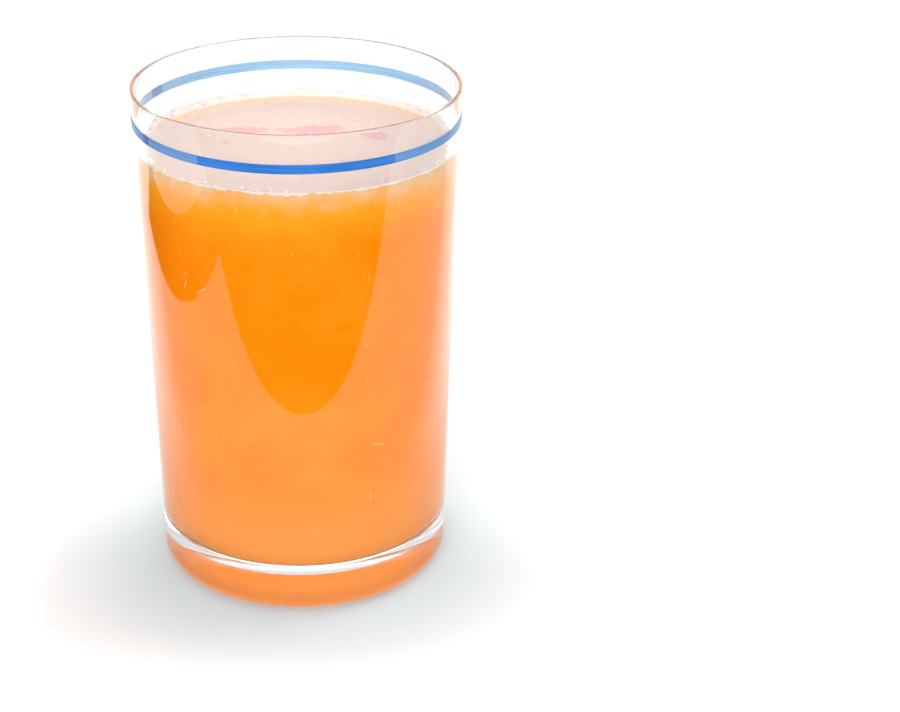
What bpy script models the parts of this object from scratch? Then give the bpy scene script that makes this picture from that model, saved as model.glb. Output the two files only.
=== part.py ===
"""A tall tumbler of orange juice: clear glass with a heavy foot, a blue enamel stripe under its rim, and the drink.

Run with: blender --background --python part.py
Metres, +Z up. The origin is the centre of the foot, on the table.
"""

import math

import bmesh
import bpy

# The tumbler's outside
HEIGHT = 0.1060
RIM_RADIUS = 0.0335  # outside, just under the lip
FOOT_RADIUS = 0.0306  # outside, the wall's line carried down to the table
WAIST_DRAW = 0.0003  # how far the wall is drawn in at mid height, which flares the rim
HEEL_REACH = 0.0038  # the rounded heel, measured inwards
HEEL_RISE = 0.0047  # and upwards
HOLLOW_RADIUS = 0.0250  # the domed hollow under the foot, which leaves a flat ring to stand on
HOLLOW_DEPTH = 0.0039
HOLLOW_POWER = 5  # how flat the dome's top and how steep its edge are
LIP_RISE = 0.0006  # the lip's round, measured upwards

# The tumbler's inside
LIP_WALL = 0.0008  # the wall at the rim, whose lip is fully round
WALL_TOP = HEIGHT - LIP_RISE  # where the lip's round starts
FOOT_WALL = 0.0025  # the wall just above the foot
FLOOR_HEIGHT = 0.0090  # the drink's side of the foot
CORNER_REACH = 0.0050  # the round between wall and floor, measured inwards
CORNER_RISE = 0.0080  # and upwards

# The drink
LEVEL = 0.0923
MENISCUS_RISE = 0.0019  # how far the drink climbs the wall
MENISCUS_REACH = 0.0011  # how fast it levels out
MENISCUS_WIDTH = 0.0050
CLEARANCE = 0.0003  # between the drink and the glass

# The stripe, a raised band of fired enamel
STRIPE_MIDDLE = 0.0994
STRIPE_HEIGHT = 0.0019
STRIPE_THICKNESS = 0.0002
STRIPE_GAP = 0.0001  # between the band and the glass
STRIPE_TILT = math.radians(0.5)  # it was painted a little out of level

# Facets
SEGMENTS = 80
WALL_STEPS = 7
ROUND_STEPS = 5
LIP_STEPS = 6
HOLLOW_STEPS = 8
MENISCUS_STEPS = 6
POLE_MERGE = 1e-7

# Colour, roughness and how clear it is
GLASS = ((0.93, 0.97, 0.97, 1.0), 0.02, 0.9)
JUICE = ((1.0, 0.30, 0.01, 1.0), 0.30, 0.0)
ENAMEL = ((0.04, 0.22, 0.62, 1.0), 0.35, 0.0)


def clear_scene():
    for old in list(bpy.data.objects):
        bpy.data.objects.remove(old)


def material(name, finish):
    """A Principled material of one colour, roughness and clearness."""
    colour, roughness, clearness = finish
    made = bpy.data.materials.new(name)
    made.use_nodes = True
    shader = made.node_tree.nodes["Principled BSDF"]
    shader.inputs["Base Color"].default_value = colour
    shader.inputs["Roughness"].default_value = roughness
    shader.inputs["Transmission Weight"].default_value = clearness
    made.diffuse_color = colour
    return made


def outer_radius(z):
    """The outside of the wall at a height: a straight taper, drawn in a little between foot and rim."""
    share = z / WALL_TOP
    return FOOT_RADIUS + (RIM_RADIUS - FOOT_RADIUS) * share - WAIST_DRAW * 4 * share * (1 - share)


def inner_radius(z):
    """The inside of the wall, which thins towards the rim."""
    share = (z - FLOOR_HEIGHT) / (WALL_TOP - FLOOR_HEIGHT)
    return outer_radius(z) - (FOOT_WALL + (LIP_WALL - FOOT_WALL) * share)


def between(low, high, steps):
    """Evenly spaced values from low to high, both included."""
    return [low + (high - low) * i / steps for i in range(steps + 1)]


def quarter_round(centre, reach, rise, from_angle, to_angle):
    """Points along an ellipse's arc in the profile's plane, angles in degrees from straight out."""
    angles = [math.radians(a) for a in between(from_angle, to_angle, ROUND_STEPS)]
    return [(centre[0] + reach * math.cos(a), centre[1] + rise * math.sin(a)) for a in angles]


def foot_profile():
    """From the middle of the hollow under the foot, over the flat ring, to the top of the heel."""
    shares = [1 - (1 - share) ** 2 for share in between(0.0, 1.0, HOLLOW_STEPS)]
    hollow = [(HOLLOW_RADIUS * share, HOLLOW_DEPTH * (1 - share**HOLLOW_POWER)) for share in shares]
    heel_centre = (outer_radius(HEEL_RISE) - HEEL_REACH, HEEL_RISE)
    return hollow + quarter_round(heel_centre, HEEL_REACH, HEEL_RISE, -90, 0)


def lip_profile():
    """The round lip, from the outside of the wall to its inside."""
    reach = LIP_WALL / 2
    angles = [math.radians(a) for a in between(0, 180, LIP_STEPS)]
    return [(RIM_RADIUS - reach + reach * math.cos(a), WALL_TOP + LIP_RISE * math.sin(a)) for a in angles]


def floor_profile(inset):
    """From the wall, round the inner corner, to the middle of the floor. The drink's is inset from the glass's."""
    corner_top = FLOOR_HEIGHT + CORNER_RISE
    centre = (inner_radius(corner_top) - CORNER_REACH, corner_top)
    corner = quarter_round(centre, CORNER_REACH - inset, CORNER_RISE - inset, 0, -90)
    return corner + [(0.0, FLOOR_HEIGHT + inset)]


def tumbler_profile():
    """The whole section of the glass, from the axis underneath to the axis inside."""
    corner_top = FLOOR_HEIGHT + CORNER_RISE
    outside = [(outer_radius(z), z) for z in between(HEEL_RISE, WALL_TOP, WALL_STEPS)[1:-1]]
    inside = [(inner_radius(z), z) for z in between(WALL_TOP, corner_top, WALL_STEPS)[1:-1]]
    return foot_profile() + outside + lip_profile() + inside + floor_profile(0.0)


def juice_profile():
    """The drink's section: floor, wall and the surface, which climbs the glass in a meniscus."""
    contact = LEVEL + MENISCUS_RISE
    corner_top = FLOOR_HEIGHT + CORNER_RISE
    heights = between(corner_top, contact, WALL_STEPS)[1:]
    wall = [(inner_radius(z) - CLEARANCE, z) for z in heights]
    edge = wall[-1][0]
    offsets = between(0.0, 1.0, MENISCUS_STEPS)[1:]
    surface = []
    for offset in offsets:
        inwards = MENISCUS_WIDTH * offset**1.6
        surface.append((edge - inwards, LEVEL + MENISCUS_RISE * math.exp(-inwards / MENISCUS_REACH)))
    return floor_profile(CLEARANCE)[::-1] + wall + surface + [(0.0, LEVEL)]


def stripe_profile():
    """The enamel band's section, a thin strip that follows the wall's slope."""
    low = STRIPE_MIDDLE - STRIPE_HEIGHT / 2
    high = STRIPE_MIDDLE + STRIPE_HEIGHT / 2
    inner = STRIPE_GAP
    outer = STRIPE_GAP + STRIPE_THICKNESS
    corners = ((low, inner), (low, outer), (high, outer), (high, inner))
    return [(outer_radius(z) + out, z - STRIPE_MIDDLE) for z, out in corners]


def turned(name, profile, finish, closed=False):
    """Spins a profile round the Z axis into one closed solid."""
    shape = bmesh.new()
    points = [shape.verts.new((radius, 0.0, z)) for radius, z in profile]
    pairs = list(zip(points, points[1:]))
    if closed:
        pairs.append((points[-1], points[0]))
    edges = [shape.edges.new(pair) for pair in pairs]
    bmesh.ops.spin(
        shape,
        geom=points + edges,
        cent=(0.0, 0.0, 0.0),
        axis=(0.0, 0.0, 1.0),
        angle=math.tau,
        steps=SEGMENTS,
        use_merge=True,
    )
    bmesh.ops.remove_doubles(shape, verts=shape.verts, dist=POLE_MERGE)
    bmesh.ops.recalc_face_normals(shape, faces=shape.faces)
    mesh = bpy.data.meshes.new(name)
    shape.to_mesh(mesh)
    shape.free()
    mesh.materials.append(material(name, finish))
    mesh.shade_smooth()
    mesh.set_sharp_from_angle(angle=math.radians(40))
    made = bpy.data.objects.new(name, mesh)
    bpy.context.scene.collection.objects.link(made)
    return made


def make_tumbler():
    return turned("tumbler", tumbler_profile(), GLASS)


def make_juice():
    return turned("orange_juice", juice_profile(), JUICE)


def make_stripe():
    stripe = turned("enamel_stripe", stripe_profile(), ENAMEL, closed=True)
    stripe.location = (0.0, 0.0, STRIPE_MIDDLE)
    stripe.rotation_euler = (STRIPE_TILT, 0.0, 0.0)
    return stripe


def main():
    clear_scene()
    make_tumbler()
    make_juice()
    make_stripe()


main()
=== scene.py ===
"""The looks of a tall glass of orange juice: glass, a brushed blue stripe, cloudy juice and froth.

Metres, +Z up. The glass stands on the floor with its foot's middle at the origin.
"""

import math
import random

import bpy
from bpy.props import FloatProperty, FloatVectorProperty, IntProperty, PointerProperty
from mathutils import Matrix, Vector


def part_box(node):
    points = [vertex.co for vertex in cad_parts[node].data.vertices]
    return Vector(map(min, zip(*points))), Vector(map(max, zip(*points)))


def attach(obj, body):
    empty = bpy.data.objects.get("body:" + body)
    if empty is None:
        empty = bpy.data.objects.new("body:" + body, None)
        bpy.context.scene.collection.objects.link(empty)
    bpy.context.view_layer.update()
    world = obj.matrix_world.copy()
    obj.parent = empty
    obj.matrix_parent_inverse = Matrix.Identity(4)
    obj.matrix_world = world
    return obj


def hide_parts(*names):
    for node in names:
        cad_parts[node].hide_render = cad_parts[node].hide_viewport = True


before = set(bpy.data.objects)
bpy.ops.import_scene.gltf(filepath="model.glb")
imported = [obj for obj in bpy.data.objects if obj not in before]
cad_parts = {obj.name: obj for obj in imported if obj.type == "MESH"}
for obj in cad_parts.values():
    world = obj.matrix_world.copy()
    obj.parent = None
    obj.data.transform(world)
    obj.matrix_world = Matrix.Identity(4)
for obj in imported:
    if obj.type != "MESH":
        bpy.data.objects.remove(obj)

bl_info = {
    "name": "Glass of orange juice",
    "version": (1, 0, 0),
    "blender": (4, 5, 0),
    "location": "View3D > Sidebar > Juice glass",
    "description": "Models a tumbler of orange juice with its stripe, pulp and froth",
    "category": "Add Mesh",
}

GLASS_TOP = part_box("tumbler")[1]
JUICE_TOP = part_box("orange_juice")[1]
STRIPE_LOW, STRIPE_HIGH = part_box("enamel_stripe")
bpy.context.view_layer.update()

TINY = 1e-6  # merges points that coincide
BODY = "root"

LIGHT_BOUNCES = 40  # light runs a long way inside the thick foot and the lip

# Refractive indices
GLASS_IOR = 1.52
JUICE_IOR = 1.35
DROPLET_IOR = 1.34
BUBBLE_IOR = 1.33
ENAMEL_IOR = 1.5

# Steps along the glass's and the drink's sections
HOLLOW_STEPS = 18
HEEL_STEPS = 16
WALL_STEPS = 20
LIP_STEPS = 20
CORNER_STEPS = 16
DRINK_CORNER_STEPS = 12
DRINK_WALL_STEPS = 24
SURFACE_STEPS = 44
SURFACE_CROWDING = 1.7  # draws the surface's rings together at the wall

# How much light the stripe's coats let through, and the painted glow of its underside, standing in
# for light from behind
COAT_CLEARNESS = 0.35
DOUBLE_CLEARNESS = 0.30
UNDER_CLEARNESS = 0.15
UNDER_GLOW = 0.16

# The stripe's lengths with two coats, in degrees from the front, positive to the right
DOUBLE_COATS = ((-65.0, -60.0), (-120.6, -114.2))

# Its lengths with a thin coat
THIN_COATS = ((-60.0, -35.5), (33.5, 88.0))

# Noises in the pulp: scale, detail, roughness, distortion, and where each starts and is full
PULP_NOISES = {
    "Cloud": (90.0, 4.0, 0.5, 0.0, (0.34, 0.68)),
    "Mottle": (430.0, 5.0, 0.68, 0.5, (0.36, 0.66)),
    "Fleck": (1300.0, 3.0, 0.6, 0.0, (0.58, 0.72)),
}

# How strongly clouds, mottles and flecks of pulp tint the drink at the wall
CLOUD_SHARE = 0.40
MOTTLE_SHARE = 0.20
MOTTLE_START = 0.20
CURDLE_SHARE = 0.55
FLECK_SHARE = 0.07

# Shares of the haze's depth: where the painted light that yellows the drink near the top is full,
# and the haze's waves, its start and its end
LIT_TOP_FULL = 0.5
HAZE_WAVE = 0.4
HAZE_START = 0.8
HAZE_FULL = 0.35

# The height where the painted lighter drink at the bottom starts, and where it is full
LIT_BOTTOM_REACH = (0.032, 0.010)

# The ragged line of froth at the wall: its noise, its middle as a share of its depth, its softness
RAGGED_NOISE = (520.0, 5.0, 0.65)
RAGGED_MIDDLE = 0.32
RAGGED_SOFT = 0.00012

# Heights above the level where the film turns yellower, and where it thins as it climbs the wall
EDGE_REACH = (0.00016, 0.00040)
CLIMB_REACH = (0.00072, 0.00092)

# How strongly mottles, islands and flecks tint the film, and mottles the bubbles
FILM_MOTTLE = 0.13
FILM_ISLAND = 0.85
FILM_FLECK = 0.35
BUBBLE_MOTTLE = 0.3

# The islands' ragged edge: its noise and squeeze, how it fades with distance, and where it shows
ISLAND_NOISE = (620.0, 6.0, 0.70, 0.3)
ISLAND_SQUEEZE = (0.6, 1.0, 1.0)
ISLAND_FADE = (0.35, 1.6, 0.30, -0.10)
ISLAND_REACH = (0.60, 0.66)

# Middles and half widths, across and deep, of the pinkish islands in the froth film
ISLANDS = (
    ((-0.0115, 0.0106), (0.0068, 0.0026)),
    ((0.0035, 0.0104), (0.0074, 0.0032)),
    ((0.0165, 0.0026), (0.0036, 0.0017)),
)

# Brush strokes in the enamel: their stretch round the glass, noise, and the share of lighter enamel
BRUSH_STRETCH = (1.0, 1.0, 26.0)
BRUSH_NOISE = (95.0, 4.0)
BRUSH_REACH = (0.30, 0.72, 0.0, 0.5)

# Bubbles, flecks and droplets: the smallest radius, what comes on top, and how rare large ones are
BUBBLE_RADII = (0.00010, 0.00028, 2.2)
FLECK_RADII = (0.00008, 0.00022, 2)
DROPLET_RADII = (0.00012, 0.00022, 2)

# How bubbles spread up and down the wall and away from it, and how high their line waves
BUBBLE_SPREAD = 0.00035
BUBBLE_AWAY = (0.0006, 2)
WAVE_HEIGHT = 0.00045

# How far out flecks float, and how high above the drink's edge droplets start and reach
FILM_RADIUS = 0.0305
DROPLET_START = 0.0008
DROPLET_RANGE = (0.0070, 1.8)

# Pulp fibres: their bends in degrees, where they lie, and how long and thick they are
FIBRE_BENDS = (25, 70, 120)
FIBRE_LOW = 0.018
FIBRE_MARGIN = 0.004
FIBRE_SPAN = (0.0012, 0.0040)
FIBRE_THICKNESS = (0.5, 1.0)
FIBRE_GIRTH = 0.09
FIBRE_FLATNESS = 0.6

# The fibres' noise, and the values where they start to be paler and are palest
FIBRE_NOISE = (160.0, 2.0)
FIBRE_REACH = (0.35, 0.65)

# The lumps in the film: their size, and how far from the wall they start
LUMP_SIZE = 0.0045
LUMP_MARGIN = 0.0015

# The painted shade on the floor round the foot: its middle, its narrowing across, and where it
# starts and ends
SHADE_MIDDLE = (0.0, -0.019, 0.0)
SHADE_SQUEEZE = (0.68, 1.0, 1.0)
SHADE_REACH = (0.020, 0.048)

# Where the painted cool tint near the foot fades, and where the floor glows with painted light, to
# the sides and backwards
COOLING_REACH = (0.026, 0.060)
SIDE_REACH = (0.050, 0.095)
BACK_REACH = (-0.140, -0.080)
BACK_SLANT = -1.2

# Sizes of the stage's cards and lamps
FLOOR_HALF = 4.0
FLOOR_DROP = -0.00008
CARD_LIFT = 0.0004
ROOM_HALF = 1.5
GAP_FAR = 0.14
DISC_LIFT = 0.0001
KEY_PLACE = (0.95, 0.38, 0.72)
KEY_SIZE = 0.9
FILL_PLACE = (-0.12, -1.02, 0.22)
FILL_SIZE = 1.0


def length(name, default, description):
    """A size property in metres."""
    return FloatProperty(
        name=name, default=default, description=description, unit="LENGTH", precision=5
    )


def plain(name, default, description, subtype="NONE"):
    """A plain value: a share, a brightness or a power."""
    return FloatProperty(name=name, default=default, description=description, subtype=subtype)


def turn(name, degrees, description):
    """An angle property, given in degrees."""
    return FloatProperty(
        name=name, default=math.radians(degrees), description=description, subtype="ANGLE"
    )


def number(name, default, description, lowest=0):
    """How many of something there are."""
    return IntProperty(name=name, default=default, min=lowest, description=description)


def colour(name, default, description):
    """A linear colour property."""
    return FloatVectorProperty(
        name=name,
        default=default,
        description=description,
        subtype="COLOR",
        size=3,
        min=0.0,
        max=1.0,
    )


class GlassSizes(bpy.types.PropertyGroup):
    """Sizes of the drinking glass."""

    height: length("Height", GLASS_TOP.z, "From the table to the lip")
    rim_radius: length("Rim radius", 0.0335, "Outside, just under the lip")
    foot_radius: length("Foot radius", 0.0306, "The wall's line carried down to the table")
    waist_draw: length("Waist draw", 0.0003, "How far the wall is drawn in at mid height")
    heel_reach: length("Heel reach", 0.0038, "The rounded heel, measured inwards")
    heel_rise: length("Heel rise", 0.0047, "The rounded heel, measured upwards")
    hollow_radius: length("Hollow radius", 0.0250, "The domed hollow under the foot")
    hollow_depth: length("Hollow depth", 0.0039, "How deep that hollow is")
    hollow_power: plain("Hollow power", 5.0, "How flat its top and steep its edge are")
    lip_wall: length("Lip wall", 0.0008, "Thickness of the wall at the lip")
    lip_rise: length("Lip rise", 0.0006, "The lip's round, measured upwards")
    foot_wall: length("Foot wall", 0.0025, "Thickness of the wall just above the foot")
    floor_height: length("Floor height", 0.0090, "The drink's side of the foot")
    corner_reach: length("Corner reach", 0.0050, "The round inside the foot, measured inwards")
    corner_rise: length("Corner rise", 0.0080, "The round inside the foot, measured upwards")
    segments: number("Segments", 256, "Facets round the glass", 32)


class JuiceSizes(bpy.types.PropertyGroup):
    """Sizes of the drink and of what floats in it."""

    contact: length("Contact height", JUICE_TOP.z, "Where the drink's edge meets the glass")
    rise: length("Meniscus rise", 0.0019, "How far the edge climbs above the level")
    reach: length("Meniscus reach", 0.0011, "How fast the edge levels out")
    overlap: length("Overlap", 0.00018, "How far the drink reaches into the wall, to hide any gap")
    relief: length("Surface relief", 0.00025, "Unevenness of the froth film")
    haze: length("Haze", 0.0060, "How deep pale pulp clouds the drink under its surface")
    # Painted light: how deep the drink is painted yellower under its surface, as if lit from above
    lit_top_depth: length("Risen pulp", 0.0145, "How deep the yellower drink under it goes")
    froth_depth: length("Froth depth", 0.0022, "How unevenly the froth at the glass hangs down")
    fibres: number("Fibres", 70, "Pulp fibres that touch the wall")
    flecks: number("Flecks", 130, "Pulp cells and small bubbles on the surface")
    bubbles: number("Bubbles", 220, "Bubbles in the froth at the edge")
    droplets: number("Droplets", 10, "Droplets on the wall above the drink")


class StripeSizes(bpy.types.PropertyGroup):
    """Sizes of the enamel stripe."""

    half_height: length("Half height", 0.00095, "Half of the stripe's height")
    thickness: length("Thickness", 0.00012, "How far the coat stands off the wall")
    gap: length("Gap", 0.00001, "Between the wall and the coat's underside")
    tilt: turn("Tilt", 0.5, "Out of level")


class Finishes(bpy.types.PropertyGroup):
    """Colours, linear."""

    glass: colour("Glass", (0.945, 0.953, 0.965), "Clear, with the faintest grey")
    droplet: colour("Droplet", (1.0, 0.93, 0.82), "Thin juice on the wall")
    juice_deep: colour("Deep juice", (1.0, 0.280, 0.0), "Most of the drink")
    # Yellower juice: pulp clouds and mottles, and painted light from above near the surface
    juice_pulp_and_lit_top: colour("High juice", (1.0, 0.395, 0.012), "Near the surface, where fine pulp rises")
    # Painted light: the drink is painted paler at the bottom
    juice_lit_bottom: colour("Settled juice", (1.0, 0.340, 0.045), "At the bottom, where pulp settles")
    juice_pale: colour("Pale juice", (0.84, 0.58, 0.32), "Pulp that clouds the edge")
    froth: colour("Froth", (0.825, 0.635, 0.548), "The film on the surface")
    froth_edge: colour("Froth edge", (0.81, 0.60, 0.40), "A yellower line at the foot of the climb")
    climb: colour("Climb", (0.79, 0.72, 0.68), "The thin film that climbs the wall")
    froth_gap: colour("Froth gap", (0.78, 0.42, 0.43), "Pinkish islands in the film")
    bubble: colour("Bubble", (0.90, 0.81, 0.75), "Bubbles and the ragged line at the glass")
    fibre: colour("Fibre", (1.0, 0.62, 0.30), "Pulp fibres")
    enamel: colour("Enamel", (0.014, 0.125, 0.390), "The stripe's outer coat")
    enamel_double: colour("Double enamel", (0.0, 0.055, 0.280), "Where the brush passed twice")
    enamel_thin: colour("Thin enamel", (0.078, 0.190, 0.390), "Where the brush ran dry")
    # Painted light: the underside is painted much lighter than the outer coat, as if lit from
    # behind
    backlit_enamel_under: colour("Enamel underside", (0.34, 0.66, 1.0), "The coat seen through the glass")
    backlit_enamel_under_double: colour("Double underside", (0.15, 0.37, 0.82), "Where it has two coats")


class StageSizes(bpy.types.PropertyGroup):
    """The camera and the light."""

    camera_back: length("Camera distance", 0.41755, "Horizontally from the glass's axis")
    camera_height: length("Camera height", 0.23583, "Above the table")
    camera_yaw: turn("Yaw", 4.3324, "Turned to the right")
    camera_pitch: turn("Pitch", 24.5466, "Tilted down")
    camera_roll: turn("Roll", 0.6718, "Rolled to one side")
    lens: plain("Lens", 85.9, "Focal length for a sensor 36 mm wide")
    table_front: length("Table front", -0.115, "The table's near edge, past which the room is dark")
    table_left: length("Table left", -0.165, "The pale table's left edge")
    gap_width: length("Gap width", 0.058, "The dark gap past the left edge")
    dark_depth: length("Dark depth", 0.210, "How far the dark room in front reaches")
    table_shade: plain("Table shade", 0.82, "How much light the table gives back")
    # Painted shade: how dark the floor is painted round the foot
    painted_foot_shade: plain("Foot shade", 0.65, "How much it gives back near the foot")
    # Painted cool tints that cancel the juice's warm bounce light on the floor, near the foot and
    # away from it
    painted_foot_cooling: colour("Foot tint", (0.82, 0.952, 1.0), "The table's tint close to the foot")
    painted_table_cooling: colour("Table tint", (0.968, 0.993, 1.0), "The table's tint away from it")
    # Painted light: the floor itself glows at both sides
    side_light: plain("Side light", 0.62, "Light from the table at both sides")
    sky: plain("Sky", 1.05, "Brightness of the white surroundings")
    key_power: plain("Key light", 5.0, "On the right", "POWER")
    glow: plain("Foot glow", 1.6, "Brightness of the disc under the foot")
    glow_tint: colour("Glow tint", (1.0, 0.94, 0.86), "The colour of its light")
    glow_radius: length("Glow radius", 0.0225, "Radius of the disc under the foot")
    fill_power: plain("Fill light", 17.0, "Low, in front", "POWER")


def between(low, high, steps):
    """Evenly spaced values from low to high, both included."""
    return [low + (high - low) * i / steps for i in range(steps + 1)]


def arc(centre, reach, rise, from_angle, to_angle, steps):
    """Points along an ellipse's arc in the section's plane, angles in degrees from straight out."""
    angles = [math.radians(a) for a in between(from_angle, to_angle, steps)]
    return [(centre[0] + reach * math.cos(a), centre[1] + rise * math.sin(a)) for a in angles]


def wall_top():
    """Where the lip's round starts."""
    glass = bpy.context.scene.juice_glass_sizes
    return glass.height - glass.lip_rise


def outer_radius(z):
    """The outside of the wall at a height."""
    glass = bpy.context.scene.juice_glass_sizes
    part = z / wall_top()
    taper = (glass.rim_radius - glass.foot_radius) * part
    return glass.foot_radius + taper - glass.waist_draw * 4 * part * (1 - part)


def inner_radius(z):
    """The inside of the wall at a height."""
    glass = bpy.context.scene.juice_glass_sizes
    part = (z - glass.floor_height) / (wall_top() - glass.floor_height)
    return outer_radius(z) - (glass.foot_wall + (glass.lip_wall - glass.foot_wall) * part)


def floor_profile(inset, steps):
    """From the wall round the inner corner to the middle of the floor."""
    glass = bpy.context.scene.juice_glass_sizes
    corner_top = glass.floor_height + glass.corner_rise
    centre = (inner_radius(corner_top) - glass.corner_reach, corner_top)
    corner = arc(centre, glass.corner_reach - inset, glass.corner_rise - inset, 0, -90, steps)
    floor = glass.floor_height + inset
    return corner + [(centre[0] / 2, floor), (0.0, floor)]


def glass_profile():
    """The section of the glass, from the axis underneath to the axis inside."""
    glass = bpy.context.scene.juice_glass_sizes
    offsets = [1 - (1 - offset) ** 2 for offset in between(0.0, 1.0, HOLLOW_STEPS)]
    depths = [glass.hollow_depth * (1 - offset**glass.hollow_power) for offset in offsets]
    hollow = [(glass.hollow_radius * offset, z) for offset, z in zip(offsets, depths)]
    heel_centre = (outer_radius(glass.heel_rise) - glass.heel_reach, glass.heel_rise)
    heel = arc(heel_centre, glass.heel_reach, glass.heel_rise, -90, 0, HEEL_STEPS)
    top = wall_top()
    outside = [(outer_radius(z), z) for z in between(glass.heel_rise, top, WALL_STEPS)[1:-1]]
    lip_reach = glass.lip_wall / 2
    lip_centre = (glass.rim_radius - lip_reach, top)
    lip = arc(lip_centre, lip_reach, glass.lip_rise, 0, 180, LIP_STEPS)
    corner_top = glass.floor_height + glass.corner_rise
    inside = [(inner_radius(z), z) for z in between(top, corner_top, WALL_STEPS)[1:-1]]
    return hollow + heel + outside + lip + inside + floor_profile(0.0, CORNER_STEPS)


def juice_height(radius):
    """The surface's height at a distance from the axis: level, then climbing the wall."""
    juice = bpy.context.scene.juice_drink_sizes
    inwards = inner_radius(juice.contact) - radius
    return juice.contact - juice.rise + juice.rise * math.exp(-max(inwards, 0.0) / juice.reach)


def juice_profile():
    """The drink's section, from the axis underneath to the axis on its surface."""
    glass = bpy.context.scene.juice_glass_sizes
    juice = bpy.context.scene.juice_drink_sizes
    corner_top = glass.floor_height + glass.corner_rise
    heights = between(corner_top, juice.contact, DRINK_WALL_STEPS)[1:]
    wall = [(inner_radius(z) + juice.overlap, z) for z in heights]
    edge = inner_radius(juice.contact)
    rings = [edge * (1 - offset**SURFACE_CROWDING) for offset in between(0.0, 1.0, SURFACE_STEPS)]
    surface = [(r, juice_height(r)) for r in rings]
    return floor_profile(-juice.overlap, DRINK_CORNER_STEPS)[::-1] + wall + surface


def put_down():
    """Leaves edit mode and deselects everything."""
    if bpy.context.object and bpy.context.object.mode != "OBJECT":
        bpy.ops.object.mode_set(mode="OBJECT")
    bpy.ops.object.select_all(action="DESELECT")


def pick_up(piece):
    """Selects one piece alone."""
    put_down()
    piece.select_set(True)
    bpy.context.view_layer.objects.active = piece


def select_faces(piece, wanted):
    """Selects the faces that a test names by their centre and normal."""
    bpy.ops.object.mode_set(mode="EDIT")
    bpy.ops.mesh.select_mode(type="FACE")
    bpy.ops.mesh.select_all(action="DESELECT")
    bpy.ops.object.mode_set(mode="OBJECT")
    for face in piece.data.polygons:
        face.select = wanted(face.center, face.normal)
    bpy.ops.object.mode_set(mode="EDIT")


def turned(name, profile, segments, closed=False):
    """Draws a section point by point, from a small plane merged to one point, and spins it."""
    put_down()
    start = Vector((profile[0][0], 0.0, profile[0][1]))
    bpy.ops.mesh.primitive_plane_add(size=0.001, location=start)
    piece = bpy.context.object
    piece.name = name
    bpy.ops.object.transform_apply()
    bpy.ops.object.mode_set(mode="EDIT")
    bpy.ops.mesh.merge(type="CENTER")
    bpy.ops.mesh.select_mode(type="VERT")
    bpy.ops.mesh.select_all(action="SELECT")
    places = [Vector((radius, 0.0, z)) for radius, z in profile]
    for here, there in zip(places, places[1:]):
        bpy.ops.mesh.extrude_region_move(TRANSFORM_OT_translate={"value": there - here})
    if closed:
        bpy.ops.mesh.select_all(action="SELECT")
        bpy.ops.mesh.edge_face_add()
        bpy.ops.mesh.delete(type="ONLY_FACE")
    bpy.ops.mesh.select_all(action="SELECT")
    bpy.ops.mesh.spin(
        steps=segments, angle=math.tau, center=(0.0, 0.0, 0.0), axis=(0.0, 0.0, 1.0)
    )
    bpy.ops.mesh.select_all(action="SELECT")
    bpy.ops.mesh.remove_doubles(threshold=TINY)
    bpy.ops.mesh.normals_make_consistent(inside=False)
    bpy.ops.object.mode_set(mode="OBJECT")
    bpy.ops.object.shade_smooth_by_angle(angle=math.radians(40))
    return piece


def copied(model, matrix):
    """A copy of a model with its own mesh, put in place by a matrix."""
    mesh = model.data.copy()
    mesh.transform(matrix)
    copy = bpy.data.objects.new(model.name, mesh)
    bpy.context.scene.collection.objects.link(copy)
    return copy


def joined(name, copies):
    """Joins copies into one piece at the origin."""
    put_down()
    for copy in copies:
        copy.select_set(True)
    bpy.context.view_layer.objects.active = copies[0]
    bpy.ops.object.join()
    piece = bpy.context.object
    piece.name = name
    return piece


def remove(model):
    """Removes a model once its copies are made."""
    bpy.data.objects.remove(model)


def rough_displace(piece, name, size, strength, group):
    """Roughens a vertex group up and down with a procedural cloud, applied."""
    cloud = bpy.data.textures.new(name, "CLOUDS")
    cloud.noise_scale = size
    cloud.noise_depth = 2
    pick_up(piece)
    modifier = piece.modifiers.new(name, "DISPLACE")
    modifier.texture = cloud
    modifier.texture_coords = "LOCAL"
    modifier.strength = strength
    modifier.mid_level = 0.5
    modifier.direction = "Z"
    modifier.vertex_group = group
    bpy.ops.object.modifier_apply(modifier=modifier.name)


def group_points(piece, name, weight):
    """A vertex group whose weight is worked out from each point's place."""
    group = piece.vertex_groups.new(name=name)
    for vertex in piece.data.vertices:
        amount = weight(vertex.co)
        if amount > 0:
            group.add([vertex.index], min(amount, 1.0), "REPLACE")


def smooth_step(low, high, value):
    """0 below low, 1 above high, eased between."""
    part = min(max((value - low) / (high - low), 0.0), 1.0)
    return part * part * (3 - 2 * part)


def from_axis(angle, reach, z):
    """A place at an angle round the glass's axis and a distance from it."""
    return Vector((reach * math.cos(angle), reach * math.sin(angle), z))


def skewed(chance, low, spread, power):
    """A random size from low upwards, more often small than large."""
    return low + spread * chance.random() ** power


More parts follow.
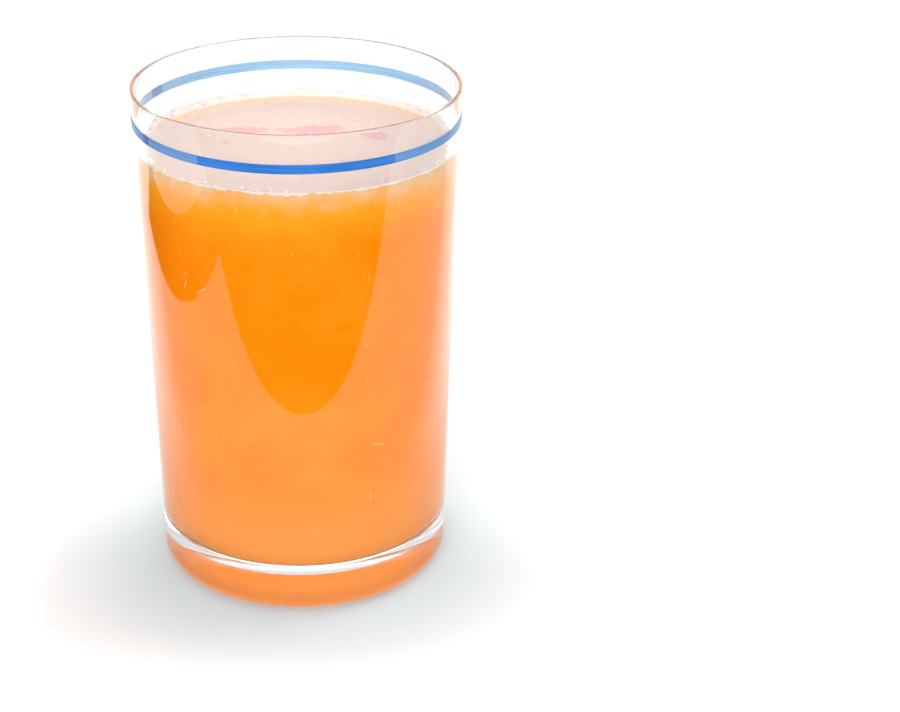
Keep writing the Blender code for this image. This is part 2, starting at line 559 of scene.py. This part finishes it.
class Nodes:
    """A short way to add and join shader nodes."""

    def __init__(self, tree):
        self.tree = tree

    def add(self, kind, inputs=None, **settings):
        """A node with its settings and inputs."""
        node = self.tree.nodes.new(kind)
        for name, value in settings.items():
            setattr(node, name, value)
        for name, value in (inputs or {}).items():
            self.feed(node.inputs[name], value)
        return node

    def feed(self, socket, value):
        """Links an input to a socket, or sets its value."""
        if isinstance(value, bpy.types.NodeSocket):
            self.tree.links.new(value, socket)
        else:
            socket.default_value = value

    def mix(self, share, first, second):
        """A colour between two others."""
        node = self.tree.nodes.new("ShaderNodeMix")
        node.data_type = "RGBA"
        self.feed(node.inputs[0], share)
        self.feed(node.inputs[6], rgba(first))
        self.feed(node.inputs[7], rgba(second))
        return node.outputs[2]

    def maths(self, operation, *values, clamp=False):
        """A step of arithmetic on values or sockets."""
        inputs = dict(enumerate(values))
        node = self.add("ShaderNodeMath", inputs, operation=operation, use_clamp=clamp)
        return node.outputs[0]

    def vector(self, operation, *values):
        """A step of arithmetic on vectors; a length comes out as a value."""
        node = self.add("ShaderNodeVectorMath", dict(enumerate(values)), operation=operation)
        return node.outputs["Value" if operation == "LENGTH" else "Vector"]

    def noise(self, place, scale, detail, roughness=0.5, distortion=0.0):
        """A cloudy noise at a place."""
        inputs = {"Vector": place, "Scale": scale, "Detail": detail, "Roughness": roughness}
        node = self.add("ShaderNodeTexNoise", {**inputs, "Distortion": distortion})
        return node.outputs["Fac"]

    def ramp(self, value, low, high, to_low=0.0, to_high=1.0):
        """Eases a value from one range to another."""
        source = {"Value": value, "From Min": low, "From Max": high}
        inputs = {**source, "To Min": to_low, "To Max": to_high}
        node = self.add("ShaderNodeMapRange", inputs, interpolation_type="SMOOTHSTEP")
        return node.outputs["Result"]


def rgba(value):
    """A colour property as the four numbers that a socket takes; a socket stays as it is."""
    if isinstance(value, bpy.types.NodeSocket):
        return value
    return (*value[:3], 1.0)


def new_material(name):
    """An empty material with its output and a Principled shader."""
    material = bpy.data.materials.new(name)
    material.use_nodes = True
    nodes = Nodes(material.node_tree)
    shader = material.node_tree.nodes["Principled BSDF"]
    return material, nodes, shader


def set_shader(shader, **values):
    """Sets plain values on a Principled shader by its sockets' names."""
    for name, value in values.items():
        shader.inputs[name.replace("_", " ")].default_value = value


def pulp_cloud_group():
    """Pulp seen through a wall of juice: soft clouds, curdled mottles and small flecks."""
    if "Pulp cloud" in bpy.data.node_groups:
        return bpy.data.node_groups["Pulp cloud"]
    group = bpy.data.node_groups.new("Pulp cloud", "ShaderNodeTree")
    face = group.interface
    face.new_socket("Vector", in_out="INPUT", socket_type="NodeSocketVector")
    for name in PULP_NOISES:
        face.new_socket(name, in_out="OUTPUT", socket_type="NodeSocketFloat")
    nodes = Nodes(group)
    place = group.nodes.new("NodeGroupInput").outputs["Vector"]
    result = group.nodes.new("NodeGroupOutput")
    for name, (*noise, reach) in PULP_NOISES.items():
        nodes.feed(result.inputs[name], nodes.ramp(nodes.noise(place, *noise), *reach))
    return group


def pulp_cloud(nodes, place):
    """The pulp's clouds, mottles and flecks at a place, for one material."""
    node = nodes.add("ShaderNodeGroup", node_tree=pulp_cloud_group())
    nodes.feed(node.inputs["Vector"], place)
    return node.outputs


def clear_material(name, tint, roughness, ior):
    """A clear material: polished glass or a drop of thin juice."""
    material, _, shader = new_material(name)
    set_shader(shader, Base_Color=rgba(tint), Roughness=roughness, IOR=ior, Transmission_Weight=1.0)
    return material


def side_material(scene):
    """Juice against the wall: deep orange, with yellower pulp clouds and mottles, painted lighter
    near the top and at the bottom as painted light, and pale pulp near the surface.

    Light that grazes the wall from within the glass is thrown back, because the juice bends light
    less than the glass does.
    """
    looks = scene.juice_finishes
    juice = scene.juice_drink_sizes
    top, haze = juice.contact, juice.haze
    material, nodes, shader = new_material("juice_side")
    place = nodes.add("ShaderNodeTexCoord").outputs["Object"]
    height = nodes.add("ShaderNodeSeparateXYZ", {0: place}).outputs["Z"]
    cloud = pulp_cloud(nodes, place)

    # Painted light: yellower towards the top, as if lit from above, added to yellower pulp clouds
    # and mottles
    rise = nodes.ramp(height, top - juice.lit_top_depth, top - haze * LIT_TOP_FULL)
    clouded = nodes.maths("MULTIPLY_ADD", cloud["Cloud"], CLOUD_SHARE, rise)
    mottled = nodes.maths("MULTIPLY_ADD", cloud["Mottle"], MOTTLE_SHARE, clouded)
    yellow = nodes.maths("SUBTRACT", mottled, MOTTLE_START, clamp=True)
    body = nodes.mix(yellow, looks.juice_deep, looks.juice_pulp_and_lit_top)
    # Painted light: paler towards the bottom
    body = nodes.mix(nodes.ramp(height, *LIT_BOTTOM_REACH), body, looks.juice_lit_bottom)

    waved = nodes.maths("MULTIPLY_ADD", cloud["Cloud"], haze * HAZE_WAVE, height)
    near = nodes.ramp(waved, top - haze * HAZE_START, top + haze * HAZE_FULL)
    curdled = nodes.maths("MULTIPLY_ADD", cloud["Mottle"], CURDLE_SHARE, CURDLE_SHARE)
    pale = nodes.maths("MULTIPLY", near, curdled, clamp=True)
    shade = nodes.mix(pale, body, looks.juice_pale)
    flecks = nodes.maths("MULTIPLY", cloud["Fleck"], FLECK_SHARE)
    shade = nodes.mix(flecks, shade, looks.juice_pale)

    ragged = nodes.noise(place, *RAGGED_NOISE)
    lifted = nodes.maths("MULTIPLY_ADD", ragged, juice.froth_depth, height)
    middle = top + juice.froth_depth * RAGGED_MIDDLE
    froth = nodes.ramp(lifted, middle - RAGGED_SOFT, middle + RAGGED_SOFT)
    nodes.feed(shader.inputs["Base Color"], nodes.mix(froth, shade, looks.bubble))
    set_shader(shader, Roughness=0.6, Specular_IOR_Level=0.0)

    mirror = nodes.add("ShaderNodeBsdfGlossy", {"Roughness": 0.0, "Color": (1.0, 1.0, 1.0, 1.0)})
    grazing = nodes.add("ShaderNodeFresnel", {"IOR": JUICE_IOR / GLASS_IOR}).outputs[0]
    both = nodes.add("ShaderNodeMixShader", {0: grazing})
    nodes.feed(both.inputs[1], shader.outputs[0])
    nodes.feed(both.inputs[2], mirror.outputs[0])
    nodes.feed(material.node_tree.nodes["Material Output"].inputs["Surface"], both.outputs[0])
    return material


def surface_material(scene):
    """The drink's top: a pale froth film with pinkish islands, yellower where its climb starts."""
    looks = scene.juice_finishes
    juice = scene.juice_drink_sizes
    material, nodes, shader = new_material("juice_surface")
    place = nodes.add("ShaderNodeTexCoord").outputs["Object"]
    height = nodes.add("ShaderNodeSeparateXYZ", {0: place}).outputs["Z"]
    cloud = pulp_cloud(nodes, place)

    level = juice.contact - juice.rise
    edge = nodes.ramp(height, *(level + above for above in EDGE_REACH))
    body = nodes.mix(edge, looks.froth, looks.froth_edge)
    climb = nodes.ramp(height, *(level + above for above in CLIMB_REACH))
    body = nodes.mix(climb, body, looks.climb)
    mottles = nodes.maths("MULTIPLY", cloud["Mottle"], FILM_MOTTLE)
    body = nodes.mix(mottles, body, looks.froth_gap)

    near = 0.0
    for centre, radii in ISLANDS:
        offset = nodes.vector("SUBTRACT", place, (*centre, level))
        away = nodes.vector("LENGTH", nodes.vector("DIVIDE", offset, (*radii, 1.0)))
        near = nodes.maths("MAXIMUM", near, nodes.ramp(away, *ISLAND_FADE))
    squeezed = nodes.add("ShaderNodeMapping", {"Vector": place, "Scale": ISLAND_SQUEEZE})
    rough = nodes.noise(squeezed.outputs[0], *ISLAND_NOISE)
    gap = nodes.ramp(nodes.maths("ADD", rough, near), *ISLAND_REACH)
    islands = nodes.maths("MULTIPLY", gap, FILM_ISLAND)
    shade = nodes.mix(islands, body, looks.froth_gap)

    flecks = nodes.maths("MULTIPLY", cloud["Fleck"], FILM_FLECK)
    nodes.feed(shader.inputs["Base Color"], nodes.mix(flecks, shade, looks.bubble))
    relief = {"Height": cloud["Fleck"], "Strength": 0.2, "Distance": 0.0002}
    nodes.feed(shader.inputs["Normal"], nodes.add("ShaderNodeBump", relief).outputs[0])
    set_shader(shader, Roughness=0.45, IOR=JUICE_IOR, Specular_IOR_Level=0.35)
    return material


def froth_material(scene):
    """Small pale bubbles, wet."""
    looks = scene.juice_finishes
    material, nodes, shader = new_material("froth")
    place = nodes.add("ShaderNodeTexCoord").outputs["Object"]
    darker = nodes.maths("MULTIPLY", pulp_cloud(nodes, place)["Mottle"], BUBBLE_MOTTLE)
    nodes.feed(shader.inputs["Base Color"], nodes.mix(darker, looks.bubble, looks.froth))
    set_shader(shader, Roughness=0.5, IOR=BUBBLE_IOR, Specular_IOR_Level=0.3)
    return material


def fibre_material(scene):
    """Pulp fibres, a little paler than the juice."""
    looks = scene.juice_finishes
    material, nodes, shader = new_material("pulp_fibre")
    place = nodes.add("ShaderNodeTexCoord").outputs["Object"]
    paler = nodes.ramp(nodes.noise(place, *FIBRE_NOISE), *FIBRE_REACH)
    nodes.feed(shader.inputs["Base Color"], nodes.mix(paler, looks.juice_pulp_and_lit_top, looks.fibre))
    set_shader(shader, Roughness=0.6, Specular_IOR_Level=0.0)
    return material


def enamel_material(name, coat, clearness, glow):
    """Brushed enamel that lets some light through, with a painted glow, where one is given, that
    stands in for light from behind.
    """
    material, nodes, shader = new_material(name)
    place = nodes.add("ShaderNodeTexCoord").outputs["Object"]
    flat = nodes.add("ShaderNodeMapping", {"Vector": place, "Scale": BRUSH_STRETCH})
    strokes = nodes.ramp(nodes.noise(flat.outputs[0], *BRUSH_NOISE), *BRUSH_REACH)
    lighter = [min(1.0, value * 1.5 + 0.03) for value in coat]
    shade = nodes.mix(strokes, coat, lighter)
    nodes.feed(shader.inputs["Base Color"], shade)
    set_shader(shader, Roughness=0.25, IOR=ENAMEL_IOR)
    # Painted glow, standing in for light from behind
    set_shader(shader, Emission_Color=rgba(coat), Emission_Strength=glow)
    through = nodes.add("ShaderNodeBsdfTranslucent", {"Color": shade})
    both = nodes.add("ShaderNodeMixShader", {0: clearness})
    nodes.feed(both.inputs[1], shader.outputs[0])
    nodes.feed(both.inputs[2], through.outputs[0])
    nodes.feed(material.node_tree.nodes["Material Output"].inputs["Surface"], both.outputs[0])
    return material


def plain_material(name, shade, roughness):
    """A matt stage material."""
    material, _, shader = new_material(name)
    set_shader(shader, Base_Color=rgba(shade), Roughness=roughness, Specular_IOR_Level=0.0)
    return material


class JUICE_GLASS_OT_glass(bpy.types.Operator):
    """Turns the drinking glass: hollowed foot, thick floor, thin wall and round lip"""

    bl_idname = "juice_glass.glass"
    bl_label = "Glass"

    def execute(self, context):
        scene = context.scene
        piece = turned("glass_body", glass_profile(), scene.juice_glass_sizes.segments)
        tint = scene.juice_finishes.glass
        piece.data.materials.append(clear_material("clear_glass", tint, 0.0, GLASS_IOR))
        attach(piece, BODY)
        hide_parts("tumbler")
        return {"FINISHED"}


class JUICE_GLASS_OT_juice(bpy.types.Operator):
    """Turns the drink and roughens its froth film"""

    bl_idname = "juice_glass.juice"
    bl_label = "Juice"

    def execute(self, context):
        scene = context.scene
        sizes = scene.juice_drink_sizes
        piece = turned("juice_body", juice_profile(), scene.juice_glass_sizes.segments)
        edge = inner_radius(sizes.contact)
        level = sizes.contact - sizes.rise
        margin = edge - LUMP_MARGIN

        def on_film(place):
            radius = math.hypot(place.x, place.y)
            above = place.z > level - 0.0005
            return smooth_step(edge, margin, radius) if above and radius < edge else 0.0

        group_points(piece, "film", on_film)
        rough_displace(piece, "film lumps", LUMP_SIZE, sizes.relief, "film")
        piece.data.materials.append(side_material(scene))
        piece.data.materials.append(surface_material(scene))
        pick_up(piece)
        select_faces(piece, lambda centre, normal: centre.z > level - 0.001 and normal.z > 0.2)
        piece.active_material_index = 1
        bpy.ops.object.material_slot_assign()
        put_down()
        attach(piece, BODY)
        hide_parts("orange_juice")
        return {"FINISHED"}


class JUICE_GLASS_OT_stripe(bpy.types.Operator):
    """Lays the enamel stripe on the wall, in lengths with two coats, one coat or a thin one"""

    bl_idname = "juice_glass.stripe"
    bl_label = "Stripe"

    def execute(self, context):
        scene = context.scene
        sizes = scene.juice_stripe_sizes
        middle = (STRIPE_LOW.z + STRIPE_HIGH.z) / 2
        half = sizes.half_height
        profile = []
        for z, out in ((-half, 0.3), (-half * 0.9, 1.0), (half * 0.9, 1.0), (half, 0.3)):
            profile.append((outer_radius(middle + z) + sizes.thickness * out, z))
        for z in (half, -half):
            profile.append((outer_radius(middle + z) + sizes.gap, z))
        piece = turned("stripe_coat", profile, scene.juice_glass_sizes.segments, closed=True)
        piece.location.z = middle
        piece.rotation_euler.x = sizes.tilt
        pick_up(piece)
        bpy.ops.object.transform_apply()
        self.paint(piece, scene.juice_finishes)
        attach(piece, BODY)
        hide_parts("enamel_stripe")
        return {"FINISHED"}

    def paint(self, piece, looks):
        """Coats outside, and undersides painted lighter and glowing as if lit from behind, by where
        the brush passed twice or ran dry.
        """
        for name, coat, clearness, glow in (
            ("enamel_coat", looks.enamel, COAT_CLEARNESS, 0.0),
            ("enamel_double_coat", looks.enamel_double, DOUBLE_CLEARNESS, 0.0),
            ("enamel_thin_coat", looks.enamel_thin, COAT_CLEARNESS, 0.0),
            ("enamel_underside", looks.backlit_enamel_under, UNDER_CLEARNESS, UNDER_GLOW),
            ("enamel_double_underside", looks.backlit_enamel_under_double, UNDER_CLEARNESS, UNDER_GLOW),
        ):
            piece.data.materials.append(enamel_material(name, coat, clearness, glow))
        names = [material.name for material in piece.data.materials]
        for face in piece.data.polygons:
            centre, normal = face.center, face.normal
            inner = centre.x * normal.x + centre.y * normal.y < 0
            double = any(low < turn_of(centre) < high for low, high in DOUBLE_COATS)
            thin = any(low < turn_of(centre) < high for low, high in THIN_COATS)
            if inner:
                name = "enamel_double_underside" if double else "enamel_underside"
            elif double:
                name = "enamel_double_coat"
            else:
                name = "enamel_thin_coat" if thin else "enamel_coat"
            face.material_index = names.index(name)


def turn_of(place):
    """Degrees round the glass from the front, positive to the right."""
    return math.degrees(math.atan2(place.x, -place.y))


def froth_wave(angle):
    """How the line of bubbles rises and falls round the glass."""
    return WAVE_HEIGHT * math.sin(angle * 5 + 1.3) * math.sin(angle * 11)


class JUICE_GLASS_OT_froth(bpy.types.Operator):
    """Scatters bubbles along the line where the drink meets the glass, and flecks on its surface"""

    bl_idname = "juice_glass.froth"
    bl_label = "Froth"

    def execute(self, context):
        scene = context.scene
        sizes = scene.juice_drink_sizes
        chance = random.Random(11)
        put_down()
        bpy.ops.mesh.primitive_ico_sphere_add(subdivisions=2, radius=1.0)
        model = bpy.context.object
        bpy.ops.object.shade_smooth()
        copies = []
        for _ in range(sizes.bubbles):
            angle = chance.uniform(0.0, math.tau)
            radius = skewed(chance, *BUBBLE_RADII)
            lift = chance.gauss(0.0, BUBBLE_SPREAD)
            z = sizes.contact + lift + froth_wave(angle)
            reach = inner_radius(z) - skewed(chance, radius * 0.7, *BUBBLE_AWAY)
            place = from_axis(angle, reach, z)
            copies.append(copied(model, Matrix.Translation(place) @ Matrix.Scale(radius, 4)))
        froth = joined("froth_edge", copies)
        copies = []
        for _ in range(sizes.flecks):
            angle = chance.uniform(0.0, math.tau)
            reach = FILM_RADIUS * math.sqrt(chance.random())
            radius = skewed(chance, *FLECK_RADII)
            place = from_axis(angle, reach, juice_height(reach) - radius * 0.2)
            squash = Matrix.Diagonal((radius * 1.3, radius * 1.1, radius * 0.7, 1.0))
            copies.append(copied(model, Matrix.Translation(place) @ squash))
        flecks = joined("froth_flecks", copies)
        remove(model)
        material = froth_material(scene)
        for piece in (froth, flecks):
            piece.data.materials.append(material)
            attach(piece, BODY)
        return {"FINISHED"}


class JUICE_GLASS_OT_pulp(bpy.types.Operator):
    """Bends thin fibres of pulp and lays them against the wall"""

    bl_idname = "juice_glass.pulp"
    bl_label = "Pulp"

    def execute(self, context):
        scene = context.scene
        sizes = scene.juice_drink_sizes
        chance = random.Random(5)
        models = [self.bent_fibre(math.radians(bend)) for bend in FIBRE_BENDS]
        copies = []
        for _ in range(sizes.fibres):
            angle = chance.uniform(0.0, math.tau)
            z = chance.uniform(FIBRE_LOW, sizes.contact - FIBRE_MARGIN)
            span = chance.uniform(*FIBRE_SPAN)
            place = from_axis(angle, inner_radius(z) + sizes.overlap, z)
            roll = chance.uniform(0, math.tau)
            spin = Matrix.Rotation(angle, 4, "Z") @ Matrix.Rotation(roll, 4, "X")
            thick = chance.uniform(*FIBRE_THICKNESS)
            shape = Matrix.Diagonal((span * thick * FIBRE_FLATNESS, span, span * thick, 1.0))
            copies.append(copied(chance.choice(models), Matrix.Translation(place) @ spin @ shape))
        piece = joined("pulp_fibres", copies)
        for model in models:
            remove(model)
        piece.data.materials.append(fibre_material(scene))
        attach(piece, BODY)
        return {"FINISHED"}

    def bent_fibre(self, bend):
        """A tapered fibre one unit long, along Y, bent in the YZ plane."""
        put_down()
        bpy.ops.mesh.primitive_uv_sphere_add(segments=6, ring_count=9, radius=0.5)
        model = bpy.context.object
        bpy.ops.transform.resize(value=(FIBRE_GIRTH, FIBRE_GIRTH, 1.0))
        bpy.ops.object.transform_apply()
        modifier = model.modifiers.new("bend", "SIMPLE_DEFORM")
        modifier.deform_method = "BEND"
        modifier.angle = bend
        modifier.deform_axis = "Y"
        bpy.ops.object.modifier_apply(modifier=modifier.name)
        bpy.ops.object.shade_smooth()
        return model


class JUICE_GLASS_OT_droplets(bpy.types.Operator):
    """Leaves small droplets on the inside of the wall above the drink"""

    bl_idname = "juice_glass.droplets"
    bl_label = "Droplets"

    def execute(self, context):
        scene = context.scene
        sizes = scene.juice_drink_sizes
        chance = random.Random(23)
        put_down()
        bpy.ops.mesh.primitive_ico_sphere_add(subdivisions=2, radius=1.0)
        model = bpy.context.object
        bpy.ops.object.shade_smooth()
        copies = []
        for _ in range(sizes.droplets):
            angle = chance.uniform(0.0, math.tau)
            radius = skewed(chance, *DROPLET_RADII)
            z = skewed(chance, sizes.contact + DROPLET_START, *DROPLET_RANGE)
            place = from_axis(angle, inner_radius(z) - radius * 0.15, z)
            squash = Matrix.Diagonal((radius * 0.6, radius, radius * 1.25, 1.0))
            shape = Matrix.Rotation(angle, 4, "Z") @ squash
            copies.append(copied(model, Matrix.Translation(place) @ shape))
        piece = joined("wall_droplets", copies)
        remove(model)
        tint = scene.juice_finishes.droplet
        piece.data.materials.append(clear_material("droplet", tint, 0.02, DROPLET_IOR))
        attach(piece, BODY)
        return {"FINISHED"}


def floor_material(sizes):
    """The pale floor: painted shade round the foot, a painted cool tint against the juice's warm
    bounce light, and a painted glow at the sides.
    """
    material, nodes, shader = new_material("floor_white")
    place = nodes.add("ShaderNodeTexCoord").outputs["Object"]
    # Painted shade on the floor round the foot
    offset = nodes.vector("SUBTRACT", place, SHADE_MIDDLE)
    squeezed = nodes.vector("MULTIPLY", offset, SHADE_SQUEEZE)
    away = nodes.ramp(nodes.vector("LENGTH", squeezed), *SHADE_REACH)
    shade = nodes.mix(away, [sizes.painted_foot_shade] * 3, [sizes.table_shade] * 3)
    # Painted cool tint that cancels the juice's warm bounce light
    outwards = nodes.ramp(nodes.vector("LENGTH", place), *COOLING_REACH)
    painted_cooling = nodes.mix(outwards, sizes.painted_foot_cooling, sizes.painted_table_cooling)
    nodes.feed(shader.inputs["Base Color"], nodes.vector("MULTIPLY", shade, painted_cooling))

    # The floor glows with painted light at the sides, fading towards the front
    parts = nodes.add("ShaderNodeSeparateXYZ", {0: place})
    sideways = nodes.maths("ABSOLUTE", parts.outputs["X"])
    behind = nodes.maths("MULTIPLY_ADD", sideways, BACK_SLANT, parts.outputs["Y"])
    at_sides, at_back = nodes.ramp(sideways, *SIDE_REACH), nodes.ramp(behind, *BACK_REACH)
    lit = nodes.maths("MULTIPLY", at_sides, at_back)
    strength = nodes.maths("MULTIPLY", lit, sizes.side_light)
    nodes.feed(shader.inputs["Emission Strength"], strength)
    set_shader(shader, Emission_Color=(1.0, 1.0, 1.0, 1.0), Roughness=1.0, Specular_IOR_Level=0.0)
    return material


def stage_plane(name, low, high, z, material):
    """A flat card of the stage, from one corner to the other."""
    put_down()
    middle = ((low[0] + high[0]) / 2, (low[1] + high[1]) / 2, z)
    bpy.ops.mesh.primitive_plane_add(size=1.0, location=middle)
    card = bpy.context.object
    card.name = name
    card.scale = (high[0] - low[0], high[1] - low[1], 1.0)
    bpy.ops.object.transform_apply()
    card.data.materials.append(material)
    return card


class JUICE_GLASS_OT_stage(bpy.types.Operator):
    """Sets the pale floor, the dark room that the glass reflects, the light and the camera"""

    bl_idname = "juice_glass.stage"
    bl_label = "Stage"

    def execute(self, context):
        scene = context.scene
        sizes = scene.juice_stage_sizes
        self.floor_and_cards(sizes)
        self.light(scene, sizes)
        self.camera(scene, sizes)
        scene.view_settings.view_transform = "Standard"
        scene.cycles.max_bounces = LIGHT_BOUNCES
        scene.cycles.transmission_bounces = LIGHT_BOUNCES
        scene.cycles.glossy_bounces = LIGHT_BOUNCES
        return {"FINISHED"}

    def floor_and_cards(self, sizes):
        """The floor, and the dark room and gap that only the glass's reflections show."""
        white = floor_material(sizes)
        dark = plain_material("room_dark", (0.0, 0.0, 0.0), 1.0)
        corner = (FLOOR_HALF, FLOOR_HALF)
        stage_plane("floor", (-FLOOR_HALF, -FLOOR_HALF), corner, FLOOR_DROP, white)
        near, far = sizes.table_front - sizes.dark_depth, sizes.table_front
        room = stage_plane("dark_front", (-ROOM_HALF, near), (ROOM_HALF, far), CARD_LIFT, dark)
        left, right = sizes.table_left - sizes.gap_width, sizes.table_left
        gap = stage_plane("dark_left", (left, far), (right, GAP_FAR), CARD_LIFT, dark)
        self.foot_glow(sizes)
        for card in (room, gap):
            card.visible_camera = False
            card.visible_diffuse = False
            card.visible_transmission = False
            card.visible_shadow = False

    def foot_glow(self, sizes):
        """A glowing disc under the foot's hollow, for the light that the glass leads there."""
        put_down()
        bpy.ops.mesh.primitive_circle_add(
            vertices=96, radius=sizes.glow_radius, fill_type="NGON", location=(0.0, 0.0, DISC_LIFT)
        )
        disc = bpy.context.object
        disc.name = "foot_glow"
        material, _, shader = new_material("foot_glow")
        set_shader(shader, Base_Color=(0.8, 0.8, 0.8, 1.0), Roughness=1.0, Specular_IOR_Level=0.0)
        set_shader(shader, Emission_Color=rgba(sizes.glow_tint), Emission_Strength=sizes.glow)
        disc.data.materials.append(material)

    def light(self, scene, sizes):
        """The white surroundings and two lamps."""
        world = bpy.data.worlds.new("white_room")
        world.use_nodes = True
        background = world.node_tree.nodes["Background"]
        background.inputs["Color"].default_value = (1.0, 1.0, 1.0, 1.0)
        background.inputs["Strength"].default_value = sizes.sky
        scene.world = world
        self.lamp(Vector(KEY_PLACE), KEY_SIZE, sizes.key_power)
        fill = self.lamp(Vector(FILL_PLACE), FILL_SIZE, sizes.fill_power)
        fill.visible_glossy = False

    def lamp(self, place, size, power):
        """A round lamp that faces the glass."""
        bpy.ops.object.light_add(type="AREA", location=place)
        lamp = bpy.context.object
        lamp.rotation_euler = (-place).to_track_quat("-Z", "Y").to_euler()
        lamp.data.shape = "DISK"
        lamp.data.size = size
        lamp.data.energy = power
        return lamp

    def camera(self, scene, sizes):
        """The camera in front, a little above the rim."""
        turn = Matrix.Rotation(-sizes.camera_yaw, 4, "Z")
        tilt = Matrix.Rotation(math.pi / 2 - sizes.camera_pitch, 4, "X")
        roll = Matrix.Rotation(sizes.camera_roll, 4, "Z")
        place = (0.0, -sizes.camera_back, sizes.camera_height)
        bpy.ops.object.camera_add(location=place, rotation=(turn @ tilt @ roll).to_euler())
        camera = bpy.context.object
        camera.data.sensor_width = 36.0
        camera.data.lens = sizes.lens
        camera.data.clip_start = 0.01
        scene.camera = camera


class JUICE_GLASS_PT_panel(bpy.types.Panel):
    """Buttons for each piece, and the sizes"""

    bl_label = "Juice glass"
    bl_space_type = "VIEW_3D"
    bl_region_type = "UI"
    bl_category = "Juice glass"

    def draw(self, context):
        for operator in OPERATORS:
            self.layout.operator(operator.bl_idname)
        for name in GROUPS:
            group = getattr(context.scene, name)
            for key in group.bl_rna.properties.keys():
                if key not in ("rna_type", "name"):
                    self.layout.prop(group, key)


OPERATORS = (
    JUICE_GLASS_OT_stage,
    JUICE_GLASS_OT_glass,
    JUICE_GLASS_OT_juice,
    JUICE_GLASS_OT_stripe,
    JUICE_GLASS_OT_froth,
    JUICE_GLASS_OT_pulp,
    JUICE_GLASS_OT_droplets,
)
GROUPS = {
    "juice_glass_sizes": GlassSizes,
    "juice_drink_sizes": JuiceSizes,
    "juice_stripe_sizes": StripeSizes,
    "juice_finishes": Finishes,
    "juice_stage_sizes": StageSizes,
}


def register():
    for kind in (*GROUPS.values(), *OPERATORS, JUICE_GLASS_PT_panel):
        bpy.utils.register_class(kind)
    for name, kind in GROUPS.items():
        setattr(bpy.types.Scene, name, PointerProperty(type=kind))


def unregister():
    for name in GROUPS:
        delattr(bpy.types.Scene, name)
    for kind in (JUICE_GLASS_PT_panel, *OPERATORS[::-1], *GROUPS.values()):
        bpy.utils.unregister_class(kind)


def main():
    register()
    for operator in OPERATORS:
        group, name = operator.bl_idname.split(".")
        getattr(getattr(bpy.ops, group), name)()
    put_down()


if __name__ == "__main__":
    main()
